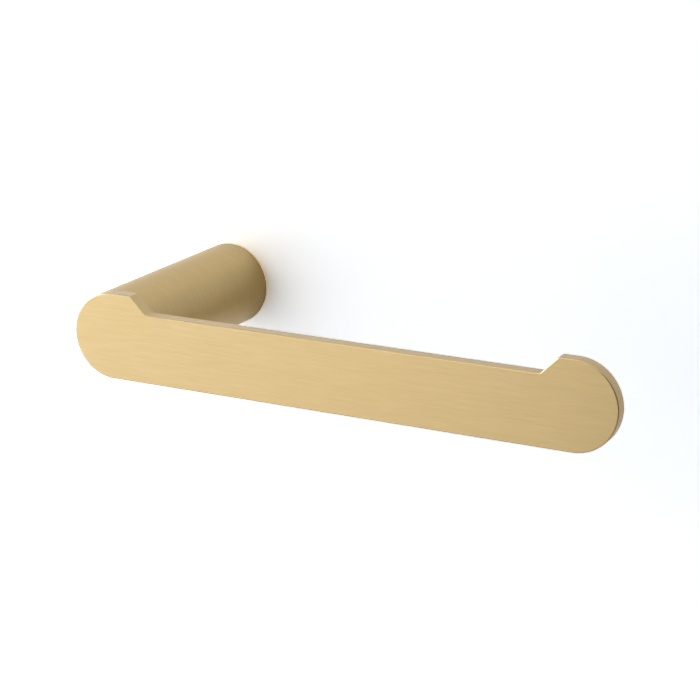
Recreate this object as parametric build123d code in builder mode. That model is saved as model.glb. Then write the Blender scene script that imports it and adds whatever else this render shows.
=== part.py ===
from build123d import *
import os
from math import atan, degrees, radians, tan

# Wall-mounted toilet paper holder: a flat notched arm on a plain round post that hides its wall fixing.
# Millimetres.  Origin: centre of the post where it meets the wall.
# +X along the arm, +Y into the wall, +Z up.

# ---- Driving dimensions ----------------------------------------------------------------------------------
arm_length = 164.0          # over the two round ends
arm_thickness = 4.0
post_diameter = 25.0        # the arm is as tall as the post is wide
post_length = 62.5          # wall to the back of the arm
edge_ease = 0.3             # small round along the polished edges

# Notch in the arm's top edge that holds the roll
notch_depth = 5.0
notch_angle = 45.0          # slope of each side, from level
near_land = 6.3             # flat top from the post's axis to the notch
far_land = 4.2              # flat top from the notch to the centre of the far end
notch_root_radius = 1.2
notch_crest_radius = 0.4

# Post: a shell with a closed front
post_wall = 2.5
post_front_wall = 7.0
bore_mouth_chamfer = 0.4

# Arm to post: a boss on the arm in a socket of the post, one screw, one locating pin
boss_diameter = 12.0
boss_height = 3.0
boss_clearance = 0.1        # all round, in the socket
boss_end_gap = 0.2          # so that the arm seats on the post's rim and not on the boss
arm_screw_diameter = 6.0
arm_screw_end_gap = 1.0     # from the screw's end to the bottom of its tapped hole
arm_screw_head_diameter = 10.0
arm_screw_head_height = 6.0
arm_screw_key = 5.0
arm_screw_key_depth = 3.0
arm_screw_hole_clearance = 0.3
arm_skin = 1.6              # left in front of the tapped hole
thread_clearance = 0.05     # threads are plain, with this gap all round
washer_outer_diameter = 11.8
washer_thickness = 1.6
washer_slit = 1.0
washer_slit_angle = 20.0
pin_diameter = 3.0
pin_skin = 1.3              # left beyond the pin's hole, in the arm and in the post's front wall
pin_clearance = 0.02
pin_end_gap = 0.2
pin_chamfer = 0.3

# Wall bracket: a round hub that the post slides over
hub_length = 12.0
hub_clearance = 0.06        # running fit in the post's bore
hub_chamfer = 0.6
hub_floor = 4.0             # under the screw heads
bracket_back_chamfer = 0.3

# Set screw, upwards through the underside of the post onto the hub's flat
set_screw_diameter = 4.0
set_screw_length = 4.0
set_screw_sunk = 0.3        # below the post's surface
set_screw_from_wall = 6.0
set_screw_tip_gap = 0.05
set_screw_key = 2.0
set_screw_key_depth = 2.0
set_screw_chamfer = 0.4
set_screw_hole_chamfer = 0.25

# Wall screws and their plugs
wall_screw_spacing = 10.0
wall_screw_diameter = 3.5
wall_screw_length = 30.0
wall_screw_head_diameter = 6.6
wall_screw_head_height = 2.4
wall_screw_head_round = 1.3
wall_screw_hole_clearance = 0.15
wall_screw_head_clearance = 0.2
wall_screw_point = 3.0
wall_screw_tip_radius = 0.25
recess_width = 1.0
recess_span = 3.8
recess_depth = 1.5
plug_diameter = 6.0
plug_length = 28.0
plug_below_surface = 0.3
plug_bore_clearance = 0.05
plug_slot_width = 1.0
plug_slot_start = 7.0
plug_nose_chamfer = 0.8

# ---- Worked out ------------------------------------------------------------------------------------------
post_radius = post_diameter / 2
arm_span = arm_length - post_diameter          # between the centres of the two round ends
notch_run = notch_depth / tan(radians(notch_angle))
notch_floor = post_radius - notch_depth

bore_radius = post_radius - post_wall
bore_depth = post_length - post_front_wall
socket_radius = boss_diameter / 2 + boss_clearance
socket_depth = boss_height + boss_end_gap
arm_screw_radius = arm_screw_diameter / 2
tapped_depth = boss_height + arm_thickness - arm_skin
screw_seat = bore_depth - washer_thickness      # wall to the underside of the arm screw's head
boss_end = post_length - boss_height
arm_screw_length = boss_end + tapped_depth - arm_screw_end_gap - screw_seat
pin_radius = pin_diameter / 2
pin_depth_in_arm = arm_thickness - pin_skin - pin_end_gap
pin_depth_in_post = post_front_wall - pin_skin - pin_end_gap
pin_offset = (socket_radius + post_radius) / 2  # midway across the post's front rim

hub_radius = bore_radius - hub_clearance
set_screw_radius = set_screw_diameter / 2
set_screw_outer_end = post_radius - set_screw_sunk
set_screw_tip = set_screw_outer_end - set_screw_length
flat_height = set_screw_tip - set_screw_tip_gap  # from the hub's axis down to its flat

wall_screw_radius = wall_screw_diameter / 2
head_recess_radius = wall_screw_head_diameter / 2 + wall_screw_head_clearance
point_taper = degrees(atan((wall_screw_radius - wall_screw_tip_radius) / wall_screw_point))


def facing_wall(distance):
    """Sketch plane this far out from the wall, its local Z pointing back to the wall."""
    return Plane(origin=(0, -distance, 0), x_dir=(-1, 0, 0), z_dir=(0, 1, 0))


def facing_room(distance):
    """Sketch plane this far out from the wall, its local Z pointing into the room."""
    return Plane.XZ.offset(distance)


# ---- Arm -------------------------------------------------------------------------------------------------
with BuildPart() as arm_bar:
    with BuildSketch(facing_room(post_length)) as outline:
        with BuildLine():
            Polyline(
                (0, post_radius),
                (near_land, post_radius),
                (near_land + notch_run, notch_floor),
                (arm_span - far_land - notch_run, notch_floor),
                (arm_span - far_land, post_radius),
                (arm_span, post_radius),
            )
            ThreePointArc(
                (arm_span, post_radius), (arm_span + post_radius, 0), (arm_span, -post_radius)
            )
            Line((arm_span, -post_radius), (0, -post_radius))
            ThreePointArc((0, -post_radius), (-post_radius, 0), (0, post_radius))
        make_face()
        roots = outline.vertices().filter_by_position(Axis.Z, notch_floor, notch_floor)
        fillet(roots, radius=notch_root_radius)
        tops = outline.vertices().filter_by_position(Axis.Z, post_radius, post_radius)
        crests = tops.filter_by_position(Axis.X, near_land, arm_span - far_land)
        fillet(crests, radius=notch_crest_radius)
    extrude(amount=arm_thickness)
    rims = arm_bar.faces().filter_by(Axis.Y).edges()
    fillet(rims, radius=edge_ease)
    with BuildSketch(facing_wall(post_length)):
        Circle(boss_diameter / 2)
    extrude(amount=boss_height)
    with Locations(facing_wall(boss_end)):
        Hole(radius=arm_screw_radius + thread_clearance, depth=tapped_depth)
    with Locations(facing_wall(post_length)):
        with Locations((0, -pin_offset)):
            Hole(radius=pin_radius + pin_clearance, depth=pin_depth_in_arm + pin_end_gap)
arm_bar.part.label = "arm_bar"

# ---- Post ------------------------------------------------------------------------------------------------
with BuildPart() as post:
    with BuildSketch(Plane.XY):
        with BuildLine():
            Polyline(
                (bore_radius, 0),
                (post_radius, 0),
                (post_radius, -post_length),
                (socket_radius, -post_length),
                (socket_radius, socket_depth - post_length),
                (arm_screw_radius + arm_screw_hole_clearance, socket_depth - post_length),
                (arm_screw_radius + arm_screw_hole_clearance, -bore_depth),
                (bore_radius, -bore_depth),
                close=True,
            )
        make_face()
    revolve(axis=Axis.Y)
    outer_rims = post.edges().filter_by(GeomType.CIRCLE).group_by(SortBy.RADIUS)[-1]
    fillet(outer_rims, radius=edge_ease)
    wall_end = post.faces().filter_by(Axis.Y).sort_by(Axis.Y)[-1]
    bore_mouth = wall_end.edges().sort_by(SortBy.RADIUS)[0]
    chamfer(bore_mouth, length=bore_mouth_chamfer)
    with Locations(facing_room(post_length)):
        with Locations((0, -pin_offset)):
            Hole(radius=pin_radius + pin_clearance, depth=pin_depth_in_post + pin_end_gap)
    with Locations(Plane(origin=(0, -set_screw_from_wall, -post_radius), z_dir=(0, 0, -1))):
        CounterSinkHole(
            radius=set_screw_radius + thread_clearance,
            counter_sink_radius=set_screw_radius + thread_clearance + set_screw_hole_chamfer,
            depth=post_radius,
        )
post.part.label = "post"

# ---- Locating pin ----------------------------------------------------------------------------------------
with BuildPart() as locating_pin:
    with BuildSketch(facing_room(post_length + pin_depth_in_arm)):
        with Locations((0, -pin_offset)):
            Circle(pin_radius)
    extrude(amount=-pin_depth_in_arm - pin_depth_in_post)
    chamfer(locating_pin.edges().filter_by(GeomType.CIRCLE), length=pin_chamfer)
locating_pin.part.label = "locating_pin"

# ---- Lock washer: a split ring ---------------------------------------------------------------------------
with BuildPart() as lock_washer:
    with BuildSketch(facing_wall(bore_depth)):
        Circle(washer_outer_diameter / 2)
        Circle(arm_screw_radius + thread_clearance, mode=Mode.SUBTRACT)
    extrude(amount=washer_thickness)
    slit_middle = Plane(
        origin=(0, -bore_depth + washer_thickness / 2, washer_outer_diameter / 2), z_dir=(0, 0, 1)
    )
    with BuildSketch(slit_middle):
        Rectangle(washer_slit, 2 * washer_thickness, rotation=washer_slit_angle)
    extrude(amount=-washer_outer_diameter / 2, mode=Mode.SUBTRACT)
lock_washer.part.label = "lock_washer"

# ---- Arm screw: socket head, its head inside the post ----------------------------------------------------
with BuildPart() as arm_screw:
    with BuildSketch(facing_wall(screw_seat)):
        Circle(arm_screw_head_diameter / 2)
    extrude(amount=arm_screw_head_height)
    head_top = arm_screw.faces().sort_by(Axis.Y)[-1]
    chamfer(head_top.edges(), length=pin_chamfer)
    with BuildSketch(facing_room(screw_seat)):
        Circle(arm_screw_radius)
    extrude(amount=arm_screw_length)
    screw_end = arm_screw.faces().sort_by(Axis.Y)[0]
    chamfer(screw_end.edges(), length=2 * pin_chamfer)
    with BuildSketch(facing_wall(screw_seat - arm_screw_head_height)):
        RegularPolygon(radius=arm_screw_key / 2, side_count=6, major_radius=False)
    extrude(amount=-arm_screw_key_depth, mode=Mode.SUBTRACT)
arm_screw.part.label = "arm_screw"

# ---- Wall bracket ----------------------------------------------------------------------------------------
with BuildPart() as wall_bracket:
    with BuildSketch(facing_room(0)):
        Circle(hub_radius)
        with Locations((0, -flat_height)):
            Rectangle(2 * hub_radius, hub_radius, align=(Align.CENTER, Align.MAX), mode=Mode.SUBTRACT)
    extrude(amount=hub_length)
    front_face = wall_bracket.faces().sort_by(Axis.Y)[0]
    chamfer(front_face.edges(), length=hub_chamfer)
    back_face = wall_bracket.faces().sort_by(Axis.Y)[-1]
    chamfer(back_face.edges(), length=bracket_back_chamfer)
    with Locations(facing_room(hub_length)):
        with GridLocations(wall_screw_spacing, 0, 2, 1):
            CounterBoreHole(
                radius=wall_screw_radius + wall_screw_hole_clearance,
                counter_bore_radius=head_recess_radius,
                counter_bore_depth=hub_length - hub_floor,
                depth=hub_length,
            )
wall_bracket.part.label = "wall_bracket"

# ---- Wall screws: two pan heads with a cross recess ------------------------------------------------------
with BuildPart() as wall_screws:
    with BuildSketch(facing_room(hub_floor)):
        with GridLocations(wall_screw_spacing, 0, 2, 1):
            Circle(wall_screw_head_diameter / 2)
    extrude(amount=wall_screw_head_height)
    head_faces = wall_screws.faces().filter_by(Axis.Y).sort_by(Axis.Y)[:2]
    fillet(head_faces.edges(), radius=wall_screw_head_round)
    with BuildSketch(facing_wall(hub_floor)):
        with GridLocations(wall_screw_spacing, 0, 2, 1):
            Circle(wall_screw_radius)
    extrude(amount=wall_screw_length - wall_screw_point)
    with BuildSketch(facing_wall(hub_floor - wall_screw_length + wall_screw_point)):
        with GridLocations(wall_screw_spacing, 0, 2, 1):
            Circle(wall_screw_radius)
    extrude(amount=wall_screw_point, taper=point_taper)
    with BuildSketch(facing_room(hub_floor + wall_screw_head_height)):
        with GridLocations(wall_screw_spacing, 0, 2, 1):
            Rectangle(recess_span, recess_width)
            Rectangle(recess_width, recess_span)
    extrude(amount=-recess_depth, mode=Mode.SUBTRACT)
wall_screws.part.label = "wall_screws"

# ---- Wall plugs: split sleeves in the wall ---------------------------------------------------------------
with BuildPart() as wall_plugs:
    with BuildSketch(facing_wall(-plug_below_surface)):
        with GridLocations(wall_screw_spacing, 0, 2, 1):
            Circle(plug_diameter / 2)
    extrude(amount=plug_length)
    nose_faces = wall_plugs.faces().filter_by(Axis.Y).sort_by(Axis.Y)[-2:]
    chamfer(nose_faces.edges(), length=plug_nose_chamfer)
    with BuildSketch(facing_wall(-plug_below_surface)):
        with GridLocations(wall_screw_spacing, 0, 2, 1):
            Circle(wall_screw_radius + plug_bore_clearance)
    extrude(amount=plug_length, mode=Mode.SUBTRACT)
    with BuildSketch(facing_wall(-plug_slot_start)):
        with GridLocations(wall_screw_spacing, 0, 2, 1):
            Rectangle(plug_slot_width, plug_diameter + 1)
    extrude(amount=plug_length, mode=Mode.SUBTRACT)
wall_plugs.part.label = "wall_plugs"

# ---- Set screw -------------------------------------------------------------------------------------------
with BuildPart() as set_screw:
    with BuildSketch(Plane(origin=(0, -set_screw_from_wall, -set_screw_outer_end), z_dir=(0, 0, 1))):
        Circle(set_screw_radius)
    extrude(amount=set_screw_length)
    chamfer(set_screw.edges().filter_by(GeomType.CIRCLE), length=set_screw_chamfer)
    with BuildSketch(Plane(origin=(0, -set_screw_from_wall, -set_screw_outer_end), z_dir=(0, 0, 1))):
        RegularPolygon(radius=set_screw_key / 2, side_count=6, major_radius=False)
    extrude(amount=set_screw_key_depth, mode=Mode.SUBTRACT)
set_screw.part.label = "set_screw"

# ---- One file for each piece -----------------------------------------------------------------------------
os.makedirs("parts", exist_ok=True)
for piece in (
    arm_bar,
    post,
    locating_pin,
    lock_washer,
    arm_screw,
    wall_bracket,
    wall_screws,
    wall_plugs,
    set_screw,
):
    export_step(piece.part, f"parts/{piece.part.label}.step")
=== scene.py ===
"""A wall-mounted toilet paper holder in satin brass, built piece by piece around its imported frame.

The file is laid out as an add-on: the sizes and colours are properties, each piece or group of like
pieces has an operator, and the sidebar lists them.  Everything is in metres.  The origin is the centre
of the post where it meets the wall, +X runs along the arm, +Y into the wall and +Z up.
"""

from math import asin, atan2, cos, pi, radians, sin, tan

import bmesh
import bpy
from bpy.props import FloatProperty, FloatVectorProperty, PointerProperty
from bpy.types import Operator, Panel, PropertyGroup
from mathutils import Matrix, Vector


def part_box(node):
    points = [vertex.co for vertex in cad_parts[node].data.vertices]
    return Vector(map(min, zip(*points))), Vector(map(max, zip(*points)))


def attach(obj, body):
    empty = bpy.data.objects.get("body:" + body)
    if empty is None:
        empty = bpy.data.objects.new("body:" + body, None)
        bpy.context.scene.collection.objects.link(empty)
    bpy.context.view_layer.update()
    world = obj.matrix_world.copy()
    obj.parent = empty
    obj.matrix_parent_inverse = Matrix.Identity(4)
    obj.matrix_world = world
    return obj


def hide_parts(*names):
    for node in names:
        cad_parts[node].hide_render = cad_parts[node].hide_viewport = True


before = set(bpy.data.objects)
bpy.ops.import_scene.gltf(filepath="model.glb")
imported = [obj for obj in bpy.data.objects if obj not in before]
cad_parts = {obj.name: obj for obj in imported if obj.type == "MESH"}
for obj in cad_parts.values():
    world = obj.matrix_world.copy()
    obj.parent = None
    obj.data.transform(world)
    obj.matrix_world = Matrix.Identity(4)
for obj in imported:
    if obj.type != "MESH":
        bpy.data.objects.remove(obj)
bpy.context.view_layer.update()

bl_info = {
    "name": "Toilet Paper Holder",
    "version": (1, 0, 0),
    "blender": (4, 5, 0),
    "location": "3D View > Sidebar > Holder",
    "description": "Builds a wall-mounted brass toilet paper holder and a small studio round it",
    "category": "Add Mesh",
}

MM = 0.001
AHEAD = Vector((0, -1, 0))                       # out of the wall, into the room
OUT_OF_WALL = Matrix.Rotation(pi / 2, 4, "X")    # turns a piece made along +Z to point into the room
INTO_WALL = Matrix.Rotation(-pi / 2, 4, "X")     # turns it to point into the wall
UPSIDE_DOWN = Matrix.Rotation(pi, 4, "X")        # turns it to point down

GRAIN_MAP = "grain"                              # UV map whose U runs along the brushing
MERGE = 1e-7                                     # points this close are one point of a new mesh
WELD = 1e-6                                      # and this close in a finished piece
SUPPORT = 0.06 * MM                              # from a round to the loop that keeps its neighbour flat
SHARP = radians(28)                              # edges sharper than this aren't shaded smooth
WIDE_FACE = 0.7                                  # normals with more than this along Y are on a wide face

PIN_HOLE_RADIUS = 1.52 * MM
WORK_AXIS = (0, 1, 0)                            # the post's, which turned work goes round

arm_low, arm_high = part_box("arm_bar")
post_low, post_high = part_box("post")
screw_low, screw_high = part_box("arm_screw")
washer_low, washer_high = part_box("lock_washer")
pin_low, pin_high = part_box("locating_pin")
hub_low, hub_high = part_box("wall_bracket")
fixing_low, fixing_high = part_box("wall_screws")
plug_low, plug_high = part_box("wall_plugs")
grub_low, grub_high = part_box("set_screw")


# ---- Properties ------------------------------------------------------------------------------------------
def length(name, description, default):
    return FloatProperty(
        name=name, description=description, default=default, min=0.0, unit="LENGTH", precision=5
    )


def colour(name, description, default):
    return FloatVectorProperty(
        name=name, description=description, default=default, size=3, min=0.0, max=1.0, subtype="COLOR"
    )


def brightness(name, description, default):
    return FloatProperty(name=name, description=description, default=default, min=0.0)


class HolderSizes(PropertyGroup):
    """Sizes that the frame's boxes don't give."""

    edge_ease: length("Edge ease", "Round along the polished edges", 0.3 * MM)
    notch_depth: length("Notch depth", "How deep the roll's notch is", 5.0 * MM)
    notch_angle: FloatProperty(
        name="Notch angle", description="Slope of the notch's sides", default=radians(45), subtype="ANGLE"
    )
    near_land: length("Near land", "Flat top from the post's axis to the notch", 6.3 * MM)
    far_land: length("Far land", "Flat top from the notch to the far end's centre", 4.2 * MM)
    notch_root: length("Notch root radius", "Round at the bottom corners of the notch", 1.2 * MM)
    notch_crest: length("Notch crest radius", "Round at the top corners of the notch", 0.4 * MM)
    arm_thickness: length("Arm thickness", "Thickness of the flat arm", 4.0 * MM)
    boss_diameter: length("Boss diameter", "Round boss on the arm's back", 12.0 * MM)
    tapped_depth: length("Tapped depth", "Depth of the arm's threaded hole", 5.4 * MM)
    post_wall: length("Post wall", "Wall of the hollow post", 2.5 * MM)
    post_front_wall: length("Post front wall", "Closed end of the post", 7.0 * MM)
    socket_diameter: length("Socket diameter", "Hole in the post's front for the boss", 12.2 * MM)
    socket_depth: length("Socket depth", "Depth of that hole", 3.2 * MM)
    hub_floor: length("Hub floor", "Metal under the wall screws' heads", 4.0 * MM)
    screw_spacing: length("Wall screw spacing", "Between the two wall screws", 10.0 * MM)
    plug_slot: length("Plug slot", "Width of the split in each plug", 1.0 * MM)


class HolderFinish(PropertyGroup):
    """Colours of the metals and the plastic."""

    brass_light: colour("Brass, light grain", "Raised lines of the brushed brass", (0.632, 0.446, 0.192))
    brass_dark: colour("Brass, dark grain", "Lines between them", (0.556, 0.386, 0.158))
    raw_brass: colour("Turned brass", "Brass as it leaves the lathe", (0.62, 0.45, 0.20))
    stainless: colour("Stainless steel", "Screws and lock washer", (0.56, 0.56, 0.55))
    hardened: colour("Hardened steel", "Locating pin", (0.36, 0.36, 0.37))
    nylon: colour("Nylon", "Wall plugs", (0.30, 0.31, 0.33))
    roughness: FloatProperty(
        name="Satin roughness", description="Softness of the brushed brass's reflections",
        default=0.36, min=0.0, max=1.0, subtype="FACTOR",
    )


class HolderStudio(PropertyGroup):
    """Camera and light."""

    azimuth: FloatProperty(
        name="Azimuth", description="Camera's turn to the right", default=radians(27.319), subtype="ANGLE"
    )
    elevation: FloatProperty(
        name="Elevation", description="Camera's height above level", default=radians(16.58), subtype="ANGLE"
    )
    distance: length("Distance", "From the camera to the point it looks at", 648.8 * MM)
    target_right: length("Target to the right", "That point's distance from the post's axis", 41.1 * MM)
    target_drop: length("Target drop", "That point's distance below the post's axis", 16.0 * MM)
    lens: FloatProperty(
        name="Lens", description="Focal length", default=110.4, min=1.0, subtype="DISTANCE_CAMERA"
    )
    room_light: brightness("Room light", "Brightness of the plain surroundings", 0.12)
    key_light: brightness("Key light", "Brightness of the light at the left", 11.5)
    wash_light: brightness("Wash light", "Brightness of the wide soft light", 1.33)
    top_light: brightness("Top light", "Brightness of the light above the wall", 1.5)
    fill_light: brightness("Fill light", "Brightness of the light behind the wall", 2.2)
    backdrop_white: brightness("Backdrop white", "Whiteness of the wall in view", 2.15)
    wall_white: brightness("Wall white", "Whiteness of the wall in reflections", 0.8)
    floor_tone: brightness("Floor tone", "Tone of the floor in view", 0.54)
    room_tone: brightness("Room tone", "Tone of the far surroundings in view", 0.62)


# ---- Outlines --------------------------------------------------------------------------------------------
def rounded(corners, step=radians(4), closed=True):
    """An outline of (u, v, outward u, outward v) points through corners (u, v, radius).

    Corners run anticlockwise round the material.  Each round becomes an arc, with one more point just
    before and after it, so that the straight stretches beside it stay evenly shaded.
    """
    count = len(corners)
    room_needed = 2.5 * SUPPORT

    def bend(index):
        """A corner's point, the directions in and out, its turn, and how far back its round starts."""
        u, v, radius = corners[index % count]
        here = Vector((u, v))
        incoming = (here - Vector(corners[(index - 1) % count][:2])).normalized()
        outgoing = (Vector(corners[(index + 1) % count][:2]) - here).normalized()
        turn = atan2(incoming.cross(outgoing), incoming.dot(outgoing))
        return here, incoming, outgoing, turn, radius * tan(abs(turn) / 2)

    points = []
    for index, (u, v, radius) in enumerate(corners):
        here, incoming, outgoing, turn, reach = bend(index)
        if not closed and index in (0, count - 1):
            points.append((u, v, 0.0, 0.0))
            continue
        if radius == 0:
            points.append((u, v, incoming.y, -incoming.x))
            continue
        side = 1 if turn > 0 else -1
        start = here - incoming * reach
        centre = start + Vector((-incoming.y, incoming.x)) * side * radius
        steps = max(4, round(abs(turn) / step))
        arc = []
        for k in range(steps + 1):
            angle = turn * k / steps
            out = Matrix.Rotation(angle, 2) @ Vector((incoming.y, -incoming.x))
            place = centre + out * radius * side
            arc.append((place.x, place.y, out.x, out.y))
        previous, *_, reach_before = bend(index - 1)
        following, *_, reach_after = bend(index + 1)
        if (here - previous).length - reach - reach_before > room_needed:
            held = start - incoming * SUPPORT
            points.append((held.x, held.y, *arc[0][2:]))
        if index and (Vector(points[-1][:2]) - Vector(arc[0][:2])).length < MERGE:
            points.pop()
        points.extend(arc)
        if (following - here).length - reach - reach_after > room_needed:
            held = here + outgoing * (reach + SUPPORT)
            points.append((held.x, held.y, *arc[-1][2:]))
    return points


# ---- Meshes ----------------------------------------------------------------------------------------------
def join_rings(bm, rings, closed=False):
    """Faces between neighbouring rings of vertices; a ring of one vertex is a pole."""
    pairs = list(zip(rings, rings[1:]))
    if closed:
        pairs.append((rings[-1], rings[0]))
    for low, high in pairs:
        count = max(len(low), len(high))
        for k in range(count):
            after = (k + 1) % count
            below = [low[k % len(low)], low[after % len(low)]]
            above = [high[after % len(high)], high[k % len(high)]]
            distinct = list(dict.fromkeys(below + above))
            if len(distinct) > 2:
                bm.faces.new(distinct)


def mesh_from(bm, name, matrix):
    """The finished mesh of bm, closed, facing outwards and placed by matrix."""
    bmesh.ops.remove_doubles(bm, verts=bm.verts, dist=MERGE)
    bmesh.ops.recalc_face_normals(bm, faces=bm.faces)
    mesh = bpy.data.meshes.new(name)
    bm.to_mesh(mesh)
    bm.free()
    mesh.transform(matrix)
    return mesh


def turned(name, profile, matrix, segments=96, closed=False):
    """A solid of revolution from (radius, height) points, made along +Z and then placed by matrix."""
    bm = bmesh.new()
    rings = []
    for radius, height, *_ in profile:
        if radius < MERGE:
            rings.append([bm.verts.new((0, 0, height))])
            continue
        angles = [2 * pi * k / segments for k in range(segments)]
        rings.append([bm.verts.new((radius * cos(a), radius * sin(a), height)) for a in angles])
    join_rings(bm, rings, closed)
    return mesh_from(bm, name, matrix)


def stacked(name, outlines, matrix):
    """A solid through (outline, height) pairs: outlines of as many (x, y) points each, with flat ends."""
    bm = bmesh.new()
    rings = [[bm.verts.new((u, v, height)) for u, v, *_ in outline] for outline, height in outlines]
    join_rings(bm, rings)
    bm.faces.new(rings[0])
    bm.faces.new(rings[-1])
    return mesh_from(bm, name, matrix)


def inset(outline, distance):
    """An outline of (u, v, outward u, outward v) points moved inwards."""
    return [(u - nu * distance, v - nv * distance, nu, nv) for u, v, nu, nv in outline]


def show(name, mesh):
    made = bpy.data.objects.new(name, mesh)
    bpy.context.scene.collection.objects.link(made)
    return made


def settle(obj):
    """Swaps obj's mesh for what its modifiers make of it, and removes them."""
    depsgraph = bpy.context.evaluated_depsgraph_get()
    result = bpy.data.meshes.new_from_object(obj.evaluated_get(depsgraph))
    obj.modifiers.clear()
    obj.data = result
    return obj


def combine(obj, operation, *meshes):
    """Cuts meshes out of obj, or unites them with it."""
    for mesh in meshes:
        tool = show("tool", mesh)
        step = obj.modifiers.new("combine", "BOOLEAN")
        step.operation = operation
        step.solver = "EXACT"
        step.object = tool
        settle(obj)
        bpy.data.objects.remove(tool)
    return obj


def lay_grain(mesh, grain_at):
    """Writes the grain map: on each face, U runs along grain_at(centre, normal)."""
    layer = mesh.uv_layers.get(GRAIN_MAP) or mesh.uv_layers.new(name=GRAIN_MAP)
    for face in mesh.polygons:
        along = grain_at(face.center, face.normal)
        across = face.normal.cross(along)
        for loop in face.loop_indices:
            place = mesh.vertices[mesh.loops[loop].vertex_index].co
            layer.uv[loop].vector = (place.dot(along), place.dot(across))


def round_grain(axis, centre):
    """Grain that runs round an axis, as on turned work."""

    def grain_at(place, normal):
        around = axis.cross(place - centre)
        around -= normal * around.dot(normal)
        return around.normalized() if around.length > 1e-9 else normal.orthogonal().normalized()

    return grain_at


ROUND_THE_POST = round_grain(AHEAD, Vector())


def flat_bar_grain(_place, normal):
    """Straight grain along X on the wide faces, and round the perimeter on the edges."""
    if abs(normal.y) > WIDE_FACE:
        along = Vector((1, 0, 0))
        return (along - normal * along.dot(normal)).normalized()
    return normal.cross(AHEAD).normalized()


def weld(mesh):
    """Joins the near-coincident points that a boolean leaves along its cut lines."""
    bm = bmesh.new()
    bm.from_mesh(mesh)
    bmesh.ops.remove_doubles(bm, verts=bm.verts, dist=WELD)
    bmesh.ops.dissolve_degenerate(bm, dist=WELD, edges=bm.edges)
    bm.to_mesh(mesh)
    bm.free()


def finish_piece(name, mesh_object, grain_at, material, body, slot, *nodes):
    """Last steps of every piece: shading, grain map, material and its place in the frame."""
    mesh_object.name = name
    mesh = mesh_object.data
    mesh.name = name
    weld(mesh)
    mesh.shade_smooth()
    mesh.set_sharp_from_angle(angle=SHARP)
    lay_grain(mesh, grain_at)
    mesh.materials.clear()
    mesh.materials.append(material)
    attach(mesh_object, body)
    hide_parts(*nodes)
    return mesh_object


# ---- Node trees ------------------------------------------------------------------------------------------
def put(tree, kind, sockets=None, **settings):
    """Adds a node, sets its options, and fills its sockets with constants or links."""
    made = tree.nodes.new(kind)
    for option, value in settings.items():
        setattr(made, option, value)
    for key, value in (sockets or {}).items():
        if isinstance(value, bpy.types.NodeSocket):
            tree.links.new(value, made.inputs[key])
        else:
            made.inputs[key].default_value = value
    return made


def calc(tree, operation, *values):
    """A Math node's result."""
    return put(tree, "ShaderNodeMath", dict(enumerate(values)), operation=operation).outputs[0]


def remap(tree, field, *ends):
    """field taken from the range of the first two ends to that of the last two, and kept inside it."""
    return put(tree, "ShaderNodeMapRange", dict(enumerate((field, *ends)))).outputs[0]


def geometry_tree(name, inputs):
    """An empty Geometry Nodes tree with named inputs: (name, socket type, default)."""
    tree = bpy.data.node_groups.new(name, "GeometryNodeTree")
    tree.interface.new_socket("Geometry", in_out="INPUT", socket_type="NodeSocketGeometry")
    for label, kind, default in inputs:
        socket = tree.interface.new_socket(label, in_out="INPUT", socket_type=kind)
        if default is not None:
            socket.default_value = default
    tree.interface.new_socket("Geometry", in_out="OUTPUT", socket_type="NodeSocketGeometry")
    return tree, tree.nodes.new("NodeGroupInput").outputs, tree.nodes.new("NodeGroupOutput")


def end_tree(tree, result, geometry, material):
    """Makes a Geometry Nodes tree's copies real and gives them their material."""
    real = put(tree, "GeometryNodeRealizeInstances", {0: geometry})
    coated = put(tree, "GeometryNodeSetMaterial", {"Geometry": real.outputs[0], "Material": material})
    tree.links.new(coated.outputs[0], result.inputs[0])
    return tree


def grow(obj, tree, **values):
    """Runs a Geometry Nodes tree on obj, with its inputs set by identifier, and keeps the result."""
    step = obj.modifiers.new(tree.name, "NODES")
    step.node_group = tree
    wanted = {label.replace("_", " ").lower(): value for label, value in values.items()}
    for item in tree.interface.items_tree:
        if item.in_out == "INPUT" and item.name.lower() in wanted:
            step[item.identifier] = wanted.pop(item.name.lower())
    if wanted:
        raise ValueError(f"{tree.name} has no input named {sorted(wanted)}")
    return settle(obj)


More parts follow.
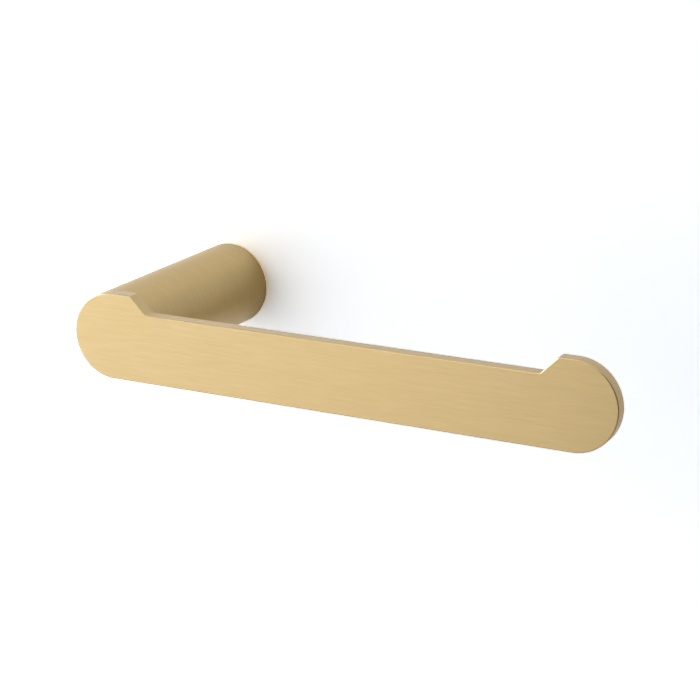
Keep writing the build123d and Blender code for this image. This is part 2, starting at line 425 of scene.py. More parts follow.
def ridged_rod_tree():
    """A rod along +Z whose surface rises and falls: a thread, a row of ribs or a knurl.

    The wave's phase is height x Ridges per metre - Starts x turns, so one start with a pitch is a
    thread, no start gives rings, and many starts with no pitch give flutes.
    """
    number, whole = "NodeSocketFloat", "NodeSocketInt"
    tree, given, result = geometry_tree(
        "Ridged rod",
        [
            ("Length", number, 0.01),
            ("Radius", number, 0.003),
            ("Ridge depth", number, 0.0005),
            ("Ridges per metre", number, 1000.0),
            ("Starts", number, 1.0),
            ("Lean", number, 0.5),
            ("Plain radius", number, 0.003),
            ("Plain start", number, 0.0),
            ("Plain end", number, 0.0),
            ("Run out", number, 0.0005),
            ("Point length", number, 0.0005),
            ("Point radius", number, 0.8),
            ("Segments", whole, 48),
            ("Rings", whole, 60),
            ("Material", "NodeSocketMaterial", None),
        ],
    )

    def plus(first, second):
        return calc(tree, "ADD", first, second)

    def minus(first, second):
        return calc(tree, "SUBTRACT", first, second)

    def times(first, second):
        return calc(tree, "MULTIPLY", first, second)

    def over(first, second):
        return calc(tree, "DIVIDE", first, second)

    rod_sizes = {
        "Vertices": given["Segments"],
        "Side Segments": given["Rings"],
        "Radius": 1.0,
        "Depth": given["Length"],
    }
    rod = put(tree, "GeometryNodeMeshCylinder", rod_sizes, fill_type="NGON")
    position = put(tree, "GeometryNodeInputPosition").outputs[0]
    x, y, z = put(tree, "ShaderNodeSeparateXYZ", {0: position}).outputs
    height = plus(z, times(given["Length"], 0.5))
    to_end = minus(given["Length"], height)

    # One ridge climbs over Lean of its width and falls over the rest, with a narrow flat at top and bottom
    turns = over(calc(tree, "ARCTAN2", y, x), 2 * pi)
    rise = times(height, given["Ridges per metre"])
    phase = calc(tree, "FRACT", minus(rise, times(given["Starts"], turns)))
    climb = over(phase, given["Lean"])
    fall = over(minus(1.0, phase), minus(1.0, given["Lean"]))
    wave = remap(tree, calc(tree, "MINIMUM", climb, fall), 0.12, 0.88, 0.0, 1.0)
    ridge = minus(given["Radius"], times(given["Ridge depth"], minus(1.0, wave)))

    # The ridges run out into plain lengths, and the last stretch narrows to the point
    from_start = over(minus(height, given["Plain start"]), given["Run out"])
    from_end = over(minus(to_end, given["Plain end"]), given["Run out"])
    share = remap(tree, calc(tree, "MINIMUM", from_start, from_end), 0.0, 1.0, 0.0, 1.0)
    radius = plus(times(ridge, share), times(given["Plain radius"], minus(1.0, share)))
    narrowing = remap(tree, over(to_end, given["Point length"]), 0.0, 1.0, given["Point radius"], 1.0)
    radius = times(radius, narrowing)

    moved = put(tree, "ShaderNodeCombineXYZ", {0: times(x, radius), 1: times(y, radius), 2: height})
    shaped = put(
        tree, "GeometryNodeSetPosition", {"Geometry": rod.outputs["Mesh"], "Position": moved.outputs[0]}
    )
    return end_tree(tree, result, shaped.outputs[0], given["Material"])


def row_tree():
    """Count copies of the piece in a row along X, centred on where the piece was made."""
    tree, given, result = geometry_tree(
        "Row of pieces",
        [
            ("Count", "NodeSocketInt", 2),
            ("Spacing", "NodeSocketFloat", 0.01),
            ("Material", "NodeSocketMaterial", None),
        ],
    )
    gaps = calc(tree, "SUBTRACT", given["Count"], 1.0)
    first = calc(tree, "MULTIPLY", calc(tree, "MULTIPLY", gaps, given["Spacing"]), -0.5)
    line = put(
        tree,
        "GeometryNodeMeshLine",
        {
            "Count": given["Count"],
            "Start Location": put(tree, "ShaderNodeCombineXYZ", {0: first}).outputs[0],
            "Offset": put(tree, "ShaderNodeCombineXYZ", {0: given["Spacing"]}).outputs[0],
        },
    )
    copies = put(
        tree, "GeometryNodeInstanceOnPoints", {"Points": line.outputs[0], "Instance": given["Geometry"]}
    )
    return end_tree(tree, result, copies.outputs[0], given["Material"])


def tree_named(name, maker):
    """The tree of that name, made once."""
    return bpy.data.node_groups.get(name) or maker()


def ridged_rod(material, matrix, **sizes):
    """The mesh of one ridged rod, placed by matrix."""
    rod = show("rod", bpy.data.meshes.new("rod"))
    grow(rod, tree_named("Ridged rod", ridged_rod_tree), material=material, **sizes)
    mesh = rod.data
    bpy.data.objects.remove(rod)
    mesh.transform(matrix)
    return mesh


# ---- Materials -------------------------------------------------------------------------------------------
def new_material(name):
    material = bpy.data.materials.new(name)
    material.use_nodes = True
    tree = material.node_tree
    tree.nodes.clear()
    return material, tree, tree.nodes.new("ShaderNodeOutputMaterial")


def coat_with(material, tree, output, sockets, kind="ShaderNodeBsdfPrincipled"):
    """Ends a material with one shader."""
    tree.links.new(put(tree, kind, sockets).outputs[0], output.inputs[0])
    return material


def noise(tree, vector, scale, detail=2.0, seed=0.0):
    """Noise from -1 to 1 whose scale is given along each axis, in cycles per metre."""
    stretched = put(
        tree,
        "ShaderNodeMapping",
        {"Vector": vector, "Location": (seed, seed * 0.7, -seed), "Scale": scale},
    )
    fog = put(
        tree, "ShaderNodeTexNoise", {"Vector": stretched.outputs[0], "Scale": 1.0, "Detail": detail}
    )
    return remap(tree, fog.outputs[0], 0.25, 0.75, -1.0, 1.0)


def weighted(tree, parts):
    """Sum of (field, weight) pairs."""
    total = calc(tree, "MULTIPLY", *parts[0])
    for field, weight in parts[1:]:
        total = calc(tree, "ADD", total, calc(tree, "MULTIPLY", field, weight))
    return total


def spread(tree, field, low, high):
    """A field of -1 to 1 taken to low to high."""
    return remap(tree, field, -1.0, 1.0, low, high)


def mixed_colour(tree, share, first, second):
    mix = put(tree, "ShaderNodeMix", {0: share}, data_type="RGBA")
    mix.inputs[6].default_value = (*first, 1)
    mix.inputs[7].default_value = (*second, 1)
    return mix.outputs[2]


def bar_lines(tree, lengthwise, crosswise, detail, seed):
    """Brushing on the flat arm: level lines on its wide faces, lines round the perimeter on its edges."""
    place = put(tree, "ShaderNodeTexCoord")
    wide = noise(tree, place.outputs["Object"], (lengthwise, lengthwise, crosswise), detail, seed)
    rim = noise(tree, place.outputs["Object"], (lengthwise, crosswise, lengthwise), detail, seed + 5)
    facing = put(tree, "ShaderNodeSeparateXYZ", {0: place.outputs["Normal"]})
    on_face = calc(tree, "GREATER_THAN", calc(tree, "ABSOLUTE", facing.outputs[1]), WIDE_FACE)
    mix = put(tree, "ShaderNodeMix", {0: on_face, 2: rim, 3: wide}, data_type="FLOAT")
    return mix.outputs[0]


def round_lines(axis):
    """Brushing round an axis: lines that go round it on the side, and rings on the ends."""

    def vector(tree, operation, sockets):
        return put(tree, "ShaderNodeVectorMath", sockets, operation=operation).outputs

    def lines(tree, lengthwise, crosswise, detail, seed):
        place = put(tree, "ShaderNodeTexCoord").outputs["Object"]
        along = vector(tree, "DOT_PRODUCT", {0: place, 1: axis})["Value"]
        on_axis = vector(tree, "SCALE", {0: axis, 3: along})[0]
        off_axis = vector(tree, "SUBTRACT", {0: place, 1: on_axis})[0]
        reach = vector(tree, "LENGTH", {0: off_axis})["Value"]
        across = calc(tree, "MULTIPLY", calc(tree, "ADD", along, reach), crosswise)
        slow = vector(tree, "SCALE", {0: off_axis, 3: lengthwise})[0]
        fast = vector(tree, "SCALE", {0: axis, 3: across})[0]
        return noise(tree, vector(tree, "ADD", {0: slow, 1: fast})[0], (1, 1, 1), detail, seed)

    return lines


def brushed_metal(name, light, dark, roughness, lines, relief, anisotropic, coat=0.0, scale=1.0):
    """Metal with directional grain in its colour, roughness and relief.

    Each layer of lines has its cycles per metre along and across the brushing, its detail and a seed.
    """
    material, tree, output = new_material(name)
    broad = lines(tree, 70 * scale, 1100 * scale, 3.0, 1.3)
    middle = lines(tree, 130 * scale, 2600 * scale, 2.0, 4.1)
    fine = lines(tree, 220 * scale, 9000 * scale, 1.0, 7.9)
    place = put(tree, "ShaderNodeTexCoord").outputs["Object"]
    cloud = noise(tree, place, (60, 60, 60), 3.0, 2.2)
    tone = weighted(tree, [(broad, 0.5), (middle, 0.7), (fine, 0.4), (cloud, 0.2)])
    height = weighted(tree, [(broad, 0.25), (middle, 0.45), (fine, 0.5)])
    dullness = weighted(tree, [(middle, 0.5), (fine, 0.3), (cloud, 0.4)])
    bump = put(tree, "ShaderNodeBump", {"Strength": 1.0, "Distance": relief, "Height": height})
    tangent = put(tree, "ShaderNodeTangent", direction_type="UV_MAP", uv_map=GRAIN_MAP)
    return coat_with(material, tree, output, {
        "Base Color": mixed_colour(tree, spread(tree, tone, 0.0, 1.0), dark, light),
        "Metallic": 1.0,
        "Roughness": spread(tree, dullness, roughness - 0.05, roughness + 0.05),
        "Coat Weight": coat,
        "Coat Roughness": 0.3,
        "Coat IOR": 1.5,
        "Anisotropic": anisotropic,
        "Anisotropic Rotation": 0.25,
        "Tangent": tangent.outputs[0],
        "Normal": bump.outputs[0],
    })


def plain_steel(name, colour_value, roughness):
    """Bright fastener steel: a faint cloud of handling marks over a fine tumbled surface."""
    material, tree, output = new_material(name)
    place = put(tree, "ShaderNodeTexCoord").outputs["Object"]
    cloud = noise(tree, place, (300, 300, 300), 4.0, 3.0)
    grit = noise(tree, place, (6000, 6000, 6000), 2.0, 1.0)
    tone = weighted(tree, [(cloud, 0.7), (grit, 0.3)])
    darker = [channel * 0.86 for channel in colour_value]
    bump = put(tree, "ShaderNodeBump", {"Strength": 1.0, "Distance": 2e-6, "Height": grit})
    return coat_with(material, tree, output, {
        "Base Color": mixed_colour(tree, spread(tree, tone, 0.0, 1.0), darker, colour_value),
        "Metallic": 1.0,
        "Roughness": spread(tree, cloud, roughness - 0.06, roughness + 0.06),
        "Normal": bump.outputs[0],
    })


def moulded_nylon(name, colour_value):
    """Grey nylon: cloudy, slightly translucent, with a fine spark-eroded texture."""
    material, tree, output = new_material(name)
    place = put(tree, "ShaderNodeTexCoord").outputs["Object"]
    cloud = noise(tree, place, (220, 220, 220), 3.0, 6.0)
    grit = noise(tree, place, (5000, 5000, 5000), 2.0, 2.0)
    paler = [min(1.0, channel * 1.18) for channel in colour_value]
    bump = put(tree, "ShaderNodeBump", {"Strength": 1.0, "Distance": 6e-6, "Height": grit})
    return coat_with(material, tree, output, {
        "Base Color": mixed_colour(tree, spread(tree, cloud, 0.0, 1.0), colour_value, paler),
        "Roughness": spread(tree, weighted(tree, [(cloud, 0.5), (grit, 0.5)]), 0.42, 0.58),
        "Subsurface Weight": 0.1,
        "Subsurface Radius": (0.001, 0.001, 0.001),
        "Normal": bump.outputs[0],
    })


def material_named(name, maker, *values):
    """The material of that name, made once."""
    return bpy.data.materials.get(name) or maker(name, *values)


def satin_brass(lines_name, lines, anisotropic, coat):
    """The brass in view, brushed after turning or milling."""
    finish = bpy.context.scene.holder_finish
    return material_named(
        f"satin_brass_{lines_name}", brushed_metal, finish.brass_light, finish.brass_dark,
        finish.roughness, lines, 3e-6, anisotropic, coat,
    )


def turned_brass():
    """Brass as the lathe leaves it, for the hidden hub."""
    finish = bpy.context.scene.holder_finish
    darker = [channel * 0.8 for channel in finish.raw_brass]
    return material_named(
        "turned_brass", brushed_metal, finish.raw_brass, darker, 0.3, round_lines(WORK_AXIS), 4e-6, 0.4,
        0.0, 0.8,
    )


def stainless():
    return material_named("stainless_steel", plain_steel, bpy.context.scene.holder_finish.stainless, 0.3)


def hardened():
    return material_named("hardened_steel", plain_steel, bpy.context.scene.holder_finish.hardened, 0.25)


def nylon():
    return material_named("plug_nylon", moulded_nylon, bpy.context.scene.holder_finish.nylon)


# ---- Shapes shared by several pieces ---------------------------------------------------------------------
def hexagon(across_flats):
    """Outline of a key socket."""
    reach = across_flats / 2 / cos(pi / 6)
    return [(reach * cos(pi / 3 * k), reach * sin(pi / 3 * k)) for k in range(6)]


def key_socket(across_flats, depth, matrix):
    """Cutter for a hexagon socket with a drilled cone below it, down -Z from the piece's end at z = 0."""
    over = 0.5 * MM
    outline = hexagon(across_flats)
    point = [(u * 0.02, v * 0.02) for u, v in outline]
    shapes = [(outline, over), (outline, -depth * 0.86), (point, -depth)]
    return stacked("key_socket", shapes, matrix)


def machine_thread(material, matrix, diameter, pitch, rod_length, gap=0.0, **more):
    """A metric thread; gap makes it larger all round, to cut the matching hole."""
    sizes = dict(
        length=rod_length,
        radius=diameter / 2 + gap,
        ridge_depth=0.61 * pitch,
        ridges_per_metre=1 / pitch,
        starts=1.0,
        plain_radius=diameter / 2 - 0.61 * pitch + gap,
        run_out=0.5 * pitch,
        point_length=0.8 * pitch,
        point_radius=0.82,
        segments=48,
        rings=round(rod_length / pitch * 12),
    )
    sizes.update(more)
    return ridged_rod(material, matrix, **sizes)


ARM_SCREW_PITCH = 1.0 * MM
ARM_SCREW_DIAMETER = 6.0 * MM
HEAD_HEIGHT = 6.0 * MM
THREAD_GAP = 0.05 * MM
HEAD_SEAT = screw_high.y - HEAD_HEIGHT           # where the arm screw's head ends and its thread starts


def arm_screw_thread(material, thread_end, gap=0.0, **more):
    """The arm screw's thread from its head to thread_end, or with a gap the cutter for its hole."""
    place = Matrix.Translation((0, HEAD_SEAT, 0)) @ OUT_OF_WALL
    return machine_thread(
        material, place, ARM_SCREW_DIAMETER, ARM_SCREW_PITCH, HEAD_SEAT - thread_end, gap, **more
    )


def pin_hole(start, depth):
    """Cutter for the locating pin's hole, from y = start towards the room."""
    profile = [(0, 0), (PIN_HOLE_RADIUS, 0), (PIN_HOLE_RADIUS, depth), (0, depth)]
    place = Matrix.Translation((0, start, (pin_low.z + pin_high.z) / 2)) @ OUT_OF_WALL
    return turned("pin_hole", profile, place, 48)


# ---- Operators -------------------------------------------------------------------------------------------
class HOLDER_OT_arm_bar(Operator):
    """Flat notched arm with eased edges, and on its back the boss with its tapped hole"""

    bl_idname = "holder.arm_bar"
    bl_label = "Arm"
    bl_options = {"REGISTER", "UNDO"}

    def execute(self, context):
        sizes = context.scene.holder_sizes
        end = post_high.x
        top, bottom = arm_high.z, arm_low.z
        left, right = arm_low.x, arm_high.x
        floor = top - sizes.notch_depth
        run = sizes.notch_depth / tan(sizes.notch_angle)
        near = sizes.near_land
        far = right - end - sizes.far_land
        outline = rounded(
            [
                (left, bottom, end),
                (right, bottom, end),
                (right, top, end),
                (far, top, sizes.notch_crest),
                (far - run, floor, sizes.notch_root),
                (near + run, floor, sizes.notch_root),
                (near, top, sizes.notch_crest),
                (left, top, end),
            ],
            step=radians(2.25),
        )
        ease = sizes.edge_ease
        steps = 6
        quarter = [pi / 2 * k / steps for k in range(steps + 1)]
        round_off = [(ease * (1 - cos(a)), ease * (1 - sin(a))) for a in quarter]
        back = -(arm_low.y + sizes.arm_thickness)
        front = -arm_low.y
        layers = [(inset(outline, ease + SUPPORT), back)]
        layers += [(inset(outline, inward), back + down) for inward, down in reversed(round_off)]
        layers += [(outline, back + ease + SUPPORT), (outline, front - ease - SUPPORT)]
        layers += [(inset(outline, inward), front - down) for inward, down in round_off]
        layers += [(inset(outline, ease + SUPPORT), front)]
        arm = show("arm_bar", stacked("arm_bar", layers, OUT_OF_WALL))
        inside = back + MM
        boss_end = -arm_high.y
        boss_radius = sizes.boss_diameter / 2
        boss = rounded(
            [(0, boss_end, 0), (boss_radius, boss_end, 0.3 * MM), (boss_radius, inside, 0), (0, inside, 0)],
            closed=False,
        )
        combine(arm, "UNION", turned("boss", boss, OUT_OF_WALL))
        combine(
            arm,
            "DIFFERENCE",
            arm_screw_thread(None, arm_high.y - sizes.tapped_depth, THREAD_GAP, point_radius=0.98),
            pin_hole(pin_low.y + 2.7 * MM, 2.9 * MM),
        )
        brass = satin_brass("bar", bar_lines, 0.6, 0.4)
        finish_piece("arm_bar", arm, flat_bar_grain, brass, "holder", "satin_brass", "arm_bar")
        return {"FINISHED"}


class HOLDER_OT_post(Operator):
    """Round hollow post: eased rims, bore for the bracket, socket for the arm's boss"""

    bl_idname = "holder.post"
    bl_label = "Post"
    bl_options = {"REGISTER", "UNDO"}

    def execute(self, context):
        sizes = context.scene.holder_sizes
        radius = post_high.x
        front = -post_low.y
        bore = radius - sizes.post_wall
        bore_end = front - sizes.post_front_wall
        socket = sizes.socket_diameter / 2
        socket_floor = front - sizes.socket_depth
        clear = 3.3 * MM    # radius of the clearance hole for the arm screw
        mouth = 0.4 * MM    # chamfer where the hub goes in
        ease = sizes.edge_ease
        profile = rounded(
            [
                (bore + mouth, 0, 0),
                (radius, 0, ease),
                (radius, front, ease),
                (socket, front, 0.15 * MM),
                (socket, socket_floor, 0),
                (clear, socket_floor, 0.1 * MM),
                (clear, bore_end, 0.1 * MM),
                (bore, bore_end, 0.5 * MM),
                (bore, mouth, 0),
            ],
            step=radians(15),
        )
        post = show("post", turned("post", profile, OUT_OF_WALL, segments=192, closed=True))
        grub_hole_radius, chamfer_radius = 2.05 * MM, 2.6 * MM
        over = 0.3 * MM
        inside = over + 3.0 * MM
        grub_hole = [
            (0, -2 * MM), (grub_hole_radius, -2 * MM), (grub_hole_radius, inside - 0.25 * MM),
            (chamfer_radius, inside + over), (0, inside + over),
        ]
        grub_place = Matrix.Translation((0, (grub_low.y + grub_high.y) / 2, inside - radius))
        combine(
            post,
            "DIFFERENCE",
            turned("grub_hole", grub_hole, grub_place @ UPSIDE_DOWN, 64),
            pin_hole(pin_high.y + 0.2 * MM, 6.7 * MM),
        )
        brass = satin_brass("post", round_lines(WORK_AXIS), 0.9, 0.05)
        finish_piece("post", post, ROUND_THE_POST, brass, "holder", "satin_brass", "post")
        return {"FINISHED"}


class HOLDER_OT_arm_fixing(Operator):
    """What holds the arm to the post: socket screw, split lock washer and locating pin"""

    bl_idname = "holder.arm_fixing"
    bl_label = "Arm screw, washer and pin"
    bl_options = {"REGISTER", "UNDO"}

    def execute(self, context):
        head_radius = screw_high.x
        knurl_depth = 0.14 * MM
        head = ridged_rod(
            stainless(),
            Matrix.Translation((0, HEAD_SEAT, 0)) @ INTO_WALL,
            length=HEAD_HEIGHT,
            radius=head_radius,
            ridge_depth=knurl_depth,
            ridges_per_metre=0.0,
            starts=44.0,
            plain_radius=head_radius - knurl_depth,
            plain_start=0.4 * MM,
            plain_end=0.5 * MM,
            run_out=0.2 * MM,
            point_length=0.35 * MM,
            point_radius=0.93,
            segments=264,
            rings=40,
        )
        screw = show("arm_screw", head)
        combine(screw, "UNION", arm_screw_thread(stainless(), screw_low.y))
        socket = key_socket(5.0 * MM, 3.0 * MM, Matrix.Translation((0, screw_high.y, 0)) @ INTO_WALL)
        combine(screw, "DIFFERENCE", socket)
        steel = ("holder", "stainless_steel")
        finish_piece("arm_screw", screw, ROUND_THE_POST, stainless(), *steel, "arm_screw")

        washer = show("lock_washer", self.split_ring())
        finish_piece("lock_washer", washer, ROUND_THE_POST, stainless(), *steel, "lock_washer")

        radius = pin_high.x
        pin_length = pin_high.y - pin_low.y
        profile = rounded(
            [(0, 0, 0), (radius, 0, 0.3 * MM), (radius, pin_length, 0.5 * MM), (0, pin_length, 0)],
            step=radians(15), closed=False,
        )
        middle = Vector((0, pin_high.y, (pin_low.z + pin_high.z) / 2))
        pin = show("locating_pin", turned("pin", profile, Matrix.Translation(middle) @ OUT_OF_WALL, 64))
        around = round_grain(AHEAD, middle)
        finish_piece("locating_pin", pin, around, hardened(), "holder", "hardened_steel", "locating_pin")
        return {"FINISHED"}

    def split_ring(self):
        """A rectangular ring with softened corners, cut through at a slant."""
        inner, outer = 3.05 * MM, washer_high.x
        thick = washer_high.y - washer_low.y
        slit, slant = 1.0 * MM, radians(20)
        half, soft = thick / 2, 0.15 * MM
        section = rounded(
            [(inner, -half, soft), (outer, -half, soft), (outer, half, soft), (inner, half, soft)],
            step=radians(22.5),
        )
        bm = bmesh.new()
        rings = []
        steps = 96
        for k in range(steps + 1):
            ring = []
            for r, y, *_ in section:
                half_gap = asin(slit / 2 / cos(slant) / r)
                lean = y * tan(slant) / r
                start, stop = half_gap + lean, 2 * pi - half_gap + lean
                angle = pi / 2 + start + (stop - start) * k / steps
                ring.append(bm.verts.new((r * cos(angle), y, r * sin(angle))))
            rings.append(ring)
        join_rings(bm, rings)
        bm.faces.new(rings[0])
        bm.faces.new(rings[-1])
        return mesh_from(bm, "lock_washer", Matrix.Translation((0, (washer_low.y + washer_high.y) / 2, 0)))


class HOLDER_OT_wall_bracket(Operator):
    """Turned brass hub that the post slides over, with a flat for the set screw and two sunk screw holes"""

    bl_idname = "holder.wall_bracket"
    bl_label = "Wall bracket"
    bl_options = {"REGISTER", "UNDO"}

    def outline(self, radius, flat, steps=96):
        """A disc cut off level below its axis."""
        corner = asin(flat / radius)
        sweep = pi + 2 * corner
        angles = [-corner + sweep * k / steps for k in range(steps + 1)]
        return [(radius * cos(a), radius * sin(a)) for a in angles]

    def execute(self, context):
        sizes = context.scene.holder_sizes
        radius, flat = hub_high.x, -hub_low.z
        front = -hub_low.y
        chamfer, back_chamfer = 0.6 * MM, 0.3 * MM
        shank_radius, sunk_radius, over = 1.9 * MM, 3.5 * MM, MM
        layers = [
            (self.outline(radius - back_chamfer, flat - back_chamfer), 0.0),
            (self.outline(radius, flat), back_chamfer),
            (self.outline(radius, flat), front - chamfer),
            (self.outline(radius - chamfer, flat - chamfer), front),
        ]
        hub = show("wall_bracket", stacked("hub", layers, OUT_OF_WALL))
        for side in (-0.5, 0.5):
            hole = [
                (0, -over), (shank_radius, -over), (shank_radius, sizes.hub_floor),
                (sunk_radius, sizes.hub_floor), (sunk_radius, front - 0.2 * MM),
                (sunk_radius + over, front + 0.8 * MM), (0, front + 0.8 * MM),
            ]
            place = Matrix.Translation((side * sizes.screw_spacing, 0, 0)) @ OUT_OF_WALL
            combine(hub, "DIFFERENCE", turned("screw_hole", hole, place, 64))
        finish_piece(
            "wall_bracket", hub, ROUND_THE_POST, turned_brass(), "wall_fixture", "bracket_brass",
            "wall_bracket",
        )
        return {"FINISHED"}


class HOLDER_OT_wall_fixings(Operator):
    """The two wall screws and their ribbed plugs"""

    bl_idname = "holder.wall_fixings"
    bl_label = "Wall screws and plugs"
    bl_options = {"REGISTER", "UNDO"}

    def cross(self, span, width):
        """Outline of a cross recess, narrower towards its tips."""
        half, arm = width / 2, span / 2
        quarter = [(arm, -half * 0.8), (arm, half * 0.8), (half, half)]
        points = []
        for k in range(4):
            turn = Matrix.Rotation(pi / 2 * k, 2)
            points += [tuple(turn @ Vector(p)) for p in quarter]
        return points

    def wall_screw(self, sizes):
        """One pan-head screw at x = 0: crowned head, cross recess, coarse thread and a sharp point."""
        seat = -sizes.hub_floor
        top = fixing_low.y
        head_radius = (fixing_high.x - fixing_low.x - sizes.screw_spacing) / 2
        head_height = seat - top
        head = rounded(
            [(0, 0, 0), (head_radius, 0, 0.12 * MM), (head_radius, head_height - 0.08 * MM, 1.2 * MM),
             (0, head_height, 0)],
            step=radians(9), closed=False,
        )
        place = Matrix.Translation((0, seat, 0))
        screw = show("wall_screws", turned("pan_head", head, place @ OUT_OF_WALL, 96))
        shank = ridged_rod(
            stainless(),
            place @ Matrix.Translation((0, -MM, 0)) @ INTO_WALL,
            length=fixing_high.y - seat + MM,
            radius=1.75 * MM,
            ridge_depth=0.62 * MM,
            ridges_per_metre=1 / (1.6 * MM),
            starts=1.0,
            lean=0.5,
            plain_radius=1.3 * MM,
            plain_start=3.0 * MM,
            run_out=0.8 * MM,
            point_length=4.5 * MM,
            point_radius=0.06,
            segments=40,
            rings=260,
        )
        combine(screw, "UNION", shank)
        recess = [
            (self.cross(3.9 * MM, 1.05 * MM), head_height + 0.1 * MM),
            (self.cross(3.3 * MM, 0.9 * MM), head_height - 0.8 * MM),
            (self.cross(1.0 * MM, 0.6 * MM), head_height - 1.5 * MM),
        ]
        combine(screw, "DIFFERENCE", stacked("recess", recess, place @ OUT_OF_WALL))
        return screw

    def wall_plug(self, sizes):
        """One plug at x = 0: plain collar, saw-tooth ribs, bore, and a split that lets it spread."""
        radius = plug_high.z
        start = plug_low.y
        plug_length = plug_high.y - start
        place = Matrix.Translation((0, start, 0)) @ INTO_WALL
        body = ridged_rod(
            nylon(),
            place,
            length=plug_length,
            radius=radius,
            ridge_depth=0.42 * MM,
            ridges_per_metre=1 / (2.0 * MM),
            starts=0.0,
            lean=0.82,
            plain_radius=radius,
            plain_start=5.0 * MM,
            plain_end=2.0 * MM,
            run_out=0.3 * MM,
            point_length=1.6 * MM,
            point_radius=0.72,
            segments=64,
            rings=168,
        )
        plug = show("wall_plugs", body)
        over = 0.5 * MM
        bore = [(0, -over), (1.8 * MM, -over), (1.8 * MM, plug_length + over), (0, plug_length + over)]
        mouth = 6.7 * MM
        half = sizes.plug_slot / 2
        edge = radius + over
        slot = [(-half, -edge), (half, -edge), (half, edge), (-half, edge)]
        combine(
            plug,
            "DIFFERENCE",
            turned("bore", bore, place, 48),
            stacked("slot", [(slot, mouth), (slot, plug_length + over)], place),
        )
        return plug

    def execute(self, context):
        sizes = context.scene.holder_sizes
        for made, name, material, slot in (
            (self.wall_screw(sizes), "wall_screws", stainless(), "stainless_steel"),
            (self.wall_plug(sizes), "wall_plugs", nylon(), "plug_nylon"),
        ):
            grow(
                made, tree_named("Row of pieces", row_tree), count=2, spacing=sizes.screw_spacing,
                material=material,
            )
            finish_piece(name, made, ROUND_THE_POST, material, "wall_fixture", slot, name)
        return {"FINISHED"}


class HOLDER_OT_set_screw(Operator):
    """Headless set screw under the post, with a hexagon socket and a cupped tip"""

    bl_idname = "holder.set_screw"
    bl_label = "Set screw"
    bl_options = {"REGISTER", "UNDO"}

    def execute(self, context):
        middle_y = (grub_low.y + grub_high.y) / 2
        screw_length = grub_high.z - grub_low.z
        diameter = grub_high.x - grub_low.x
        place = Matrix.Translation((0, middle_y, grub_low.z))
        thread = machine_thread(
            stainless(), place, diameter, 0.7 * MM, screw_length,
            plain_start=0.15 * MM, run_out=0.3 * MM, point_length=0.5 * MM, point_radius=0.75,
        )
        screw = show("set_screw", thread)
        tip = Matrix.Translation((0, middle_y, grub_high.z))
        cup = [(0, -0.8 * MM), (1.2 * MM, 0.4 * MM), (0, 0.4 * MM)]
        combine(
            screw,
            "DIFFERENCE",
            key_socket(2.0 * MM, 2.0 * MM, place @ UPSIDE_DOWN),
            turned("cup", cup, tip, 48),
        )
        around = round_grain(Vector((0, 0, 1)), Vector((0, middle_y, 0)))
        finish_piece("set_screw", screw, around, stainless(), "grub", "stainless_steel", "set_screw")
        return {"FINISHED"}


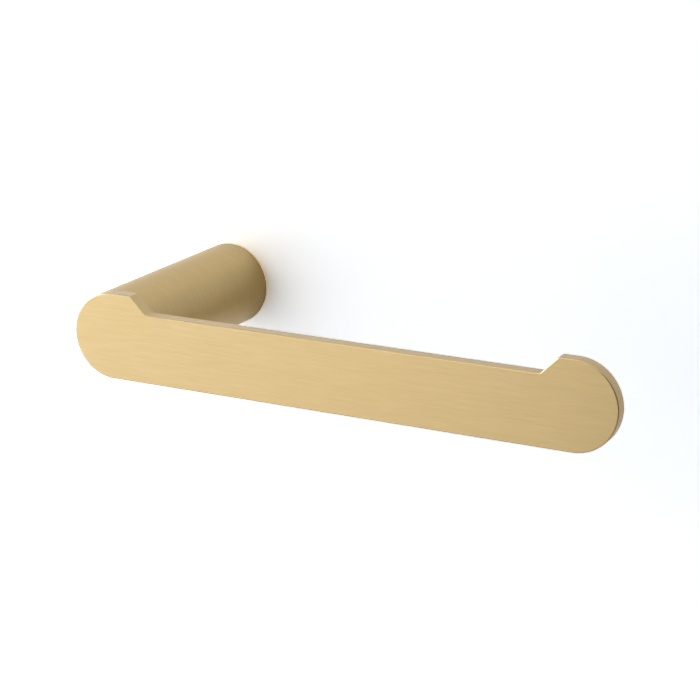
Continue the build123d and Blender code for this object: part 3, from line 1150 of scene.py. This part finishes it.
class HOLDER_OT_studio(Operator):
    """White wall, pale floor and surroundings, soft lights and the camera"""

    bl_idname = "holder.studio"
    bl_label = "Studio"
    bl_options = {"REGISTER", "UNDO"}

    def sheet(self, name, corners, material):
        """A flat piece of the studio."""
        mesh = bpy.data.meshes.new(name)
        mesh.from_pydata(corners, [], [list(range(len(corners)))])
        mesh.materials.append(material)
        made = show(name, mesh)
        return made

    def wall_paint(self, name, whiteness, tint):
        """Matt white with a slight tint, seen only from the room: from behind it lets everything through."""
        material, tree, output = new_material(name)
        white = [whiteness * channel for channel in tint]
        paint = put(tree, "ShaderNodeBsdfDiffuse", {"Color": (*white, 1)})
        clear = put(tree, "ShaderNodeBsdfTransparent")
        behind = put(tree, "ShaderNodeNewGeometry").outputs["Backfacing"]
        mix = put(tree, "ShaderNodeMixShader", {0: behind, 1: paint.outputs[0], 2: clear.outputs[0]})
        tree.links.new(mix.outputs[0], output.inputs[0])
        return material

    def floor_paint(self):
        """Matt pale grey, for the floor that lights the pieces from below."""
        sockets = {"Base Color": (0.55, 0.54, 0.52, 1), "Roughness": 0.8}
        return coat_with(*new_material("floor_paint"), sockets)

    def even_tone(self, name, tone):
        """A pale tone without shadows, for what only the camera sees."""
        return coat_with(*new_material(name), {"Color": (tone, tone, tone, 1)}, "ShaderNodeEmission")

    def camera_only(self, made):
        """Keeps a part of the studio from lighting, shading or showing in the pieces."""
        made.visible_glossy = made.visible_diffuse = made.visible_transmission = made.visible_shadow = False

    def far_room(self, radius, tone):
        """Pale surroundings for views from the side and from behind."""
        bm = bmesh.new()
        bmesh.ops.create_uvsphere(bm, u_segments=48, v_segments=24, radius=radius)
        bmesh.ops.reverse_faces(bm, faces=bm.faces)
        mesh = bpy.data.meshes.new("backdrop_room")
        bm.to_mesh(mesh)
        bm.free()
        mesh.materials.append(self.even_tone("room_tone", tone))
        room = show("backdrop_room", mesh)
        self.camera_only(room)

    def softbox(self, name, place, aim, width, height, radiance, tint=(1, 1, 1)):
        """A rectangular light whose face has the given radiance."""
        light = bpy.data.lights.new(name, "AREA")
        light.shape = "RECTANGLE"
        light.size = width
        light.size_y = height
        light.energy = radiance * width * height * pi
        light.color = tint
        made = bpy.data.objects.new(name, light)
        made.location = place
        made.rotation_euler = (Vector(aim) - Vector(place)).to_track_quat("-Z", "Y").to_euler()
        made.visible_camera = False
        bpy.context.scene.collection.objects.link(made)
        return made

    def all_but(self, name, objects):
        """A collection for light linking that leaves the given objects out."""
        collection = bpy.data.collections.new(name)
        for left_out in objects:
            collection.objects.link(left_out)
        for member in collection.collection_objects:
            member.light_linking.link_state = "EXCLUDE"
        return collection

    def execute(self, context):
        scene = context.scene
        studio = scene.holder_studio
        reach, drop, rise = 2.5, 0.65, 2.5
        gap = 0.02 * MM

        # The floor is two sheets: the camera sees an even one, and the matt one below it gives the bounce
        floor = [(-reach, -reach), (reach, -reach), (reach, reach), (-reach, reach)]
        seen_floor = [(x, y, -drop) for x, y in floor]
        matt_floor = [(x, y, -drop - gap) for x, y in floor]
        floor_tone = self.even_tone("floor_tone", studio.floor_tone)
        self.camera_only(self.sheet("backdrop_floor", seen_floor, floor_tone))
        self.sheet("bounce_floor", matt_floor, self.floor_paint()).visible_camera = False
        self.far_room(1.2 * reach, studio.room_tone)

        # So is the wall: the camera sees an overexposed white one, and the metal the plain one behind it,
        # so that the wall is clean white and yet doesn't wash out the brass that mirrors it.
        walls = []
        for name, depth, whiteness, tint in (
            ("backdrop_wall", gap, studio.backdrop_white, (0.99, 1.0, 0.98)),
            ("bounce_wall", 2 * gap, studio.wall_white, (1.03, 1.0, 0.90)),
        ):
            wall = [(-reach, -drop), (reach, -drop), (reach, rise), (-reach, rise)]
            corners = [(x, depth, z) for x, z in wall]
            walls.append(self.sheet(name, corners, self.wall_paint(name, whiteness, tint)))
        seen, bounce = walls
        self.camera_only(seen)
        bounce.visible_camera = False

        middle = (0.06, -0.03, 0.0)
        daylight = (0.80, 1.0, 1.6)
        overcast = (0.96, 1.0, 1.09)
        key = self.softbox("key", (-1.02, -0.66, 0.20), middle, 0.5, 0.6, studio.key_light, daylight)
        self.softbox("wash", (-0.70, -0.86, 0.14), middle, 1.4, 1.5, studio.wash_light, overcast)
        top = self.softbox("top", (0.12, -0.62, 0.88), middle, 1.2, 1.0, studio.top_light)

        # Only the wash and the room light the sheet that the camera sees, so it gets one soft shadow
        unlit = self.all_but("not the seen wall", [seen])
        key.light_linking.receiver_collection = unlit
        top.light_linking.receiver_collection = unlit

        # A narrow beam on the post's axis shines through the wall into the post's open end, for views
        # from behind; it can't reach the outside of the post
        fill = self.softbox("fill", (0, 0.12, 0), (0, 0, 0), 0.02, 0.02, studio.fill_light)
        fill.data.spread = radians(20)
        fill.light_linking.blocker_collection = self.all_but("not the walls", walls)

        world = bpy.data.worlds.new("room")
        world.use_nodes = True
        backdrop = world.node_tree.nodes["Background"]
        backdrop.inputs[0].default_value = (0.98, 0.99, 0.98, 1)
        backdrop.inputs[1].default_value = studio.room_light
        scene.world = world

        camera = bpy.data.objects.new("camera", bpy.data.cameras.new("camera"))
        camera.data.lens = studio.lens
        camera.data.clip_start = 0.01
        camera.data.clip_end = 20
        target = Vector((studio.target_right, 0, -studio.target_drop))
        across, level = sin(studio.azimuth), cos(studio.azimuth)
        back = Vector((across, -level, 0)) * cos(studio.elevation) + Vector((0, 0, sin(studio.elevation)))
        camera.location = target + back * studio.distance
        camera.rotation_euler = back.to_track_quat("Z", "Y").to_euler()
        scene.collection.objects.link(camera)
        scene.camera = camera
        scene.view_settings.view_transform = "Standard"
        return {"FINISHED"}


PIECES = (
    HOLDER_OT_arm_bar,
    HOLDER_OT_post,
    HOLDER_OT_arm_fixing,
    HOLDER_OT_wall_bracket,
    HOLDER_OT_wall_fixings,
    HOLDER_OT_set_screw,
    HOLDER_OT_studio,
)


class HOLDER_PT_sidebar(Panel):
    """Lists the holder's pieces, sizes, colours and studio"""

    bl_idname = "HOLDER_PT_sidebar"
    bl_label = "Toilet Paper Holder"
    bl_space_type = "VIEW_3D"
    bl_region_type = "UI"
    bl_category = "Holder"

    def draw(self, context):
        for piece in PIECES:
            self.layout.operator(piece.bl_idname)
        for group in (context.scene.holder_sizes, context.scene.holder_finish, context.scene.holder_studio):
            box = self.layout.box()
            for name in group.__annotations__:
                box.prop(group, name)


GROUPS = {"holder_sizes": HolderSizes, "holder_finish": HolderFinish, "holder_studio": HolderStudio}


def register():
    for group in GROUPS.values():
        bpy.utils.register_class(group)
    for name, group in GROUPS.items():
        setattr(bpy.types.Scene, name, PointerProperty(type=group))
    for piece in (*PIECES, HOLDER_PT_sidebar):
        bpy.utils.register_class(piece)


def unregister():
    for piece in reversed((*PIECES, HOLDER_PT_sidebar)):
        bpy.utils.unregister_class(piece)
    for name, group in GROUPS.items():
        delattr(bpy.types.Scene, name)
        bpy.utils.unregister_class(group)


def main():
    register()
    bpy.ops.holder.arm_bar()
    bpy.ops.holder.post()
    bpy.ops.holder.arm_fixing()
    bpy.ops.holder.wall_bracket()
    bpy.ops.holder.wall_fixings()
    bpy.ops.holder.set_screw()
    bpy.ops.holder.studio()


if __name__ == "__main__":
    main()
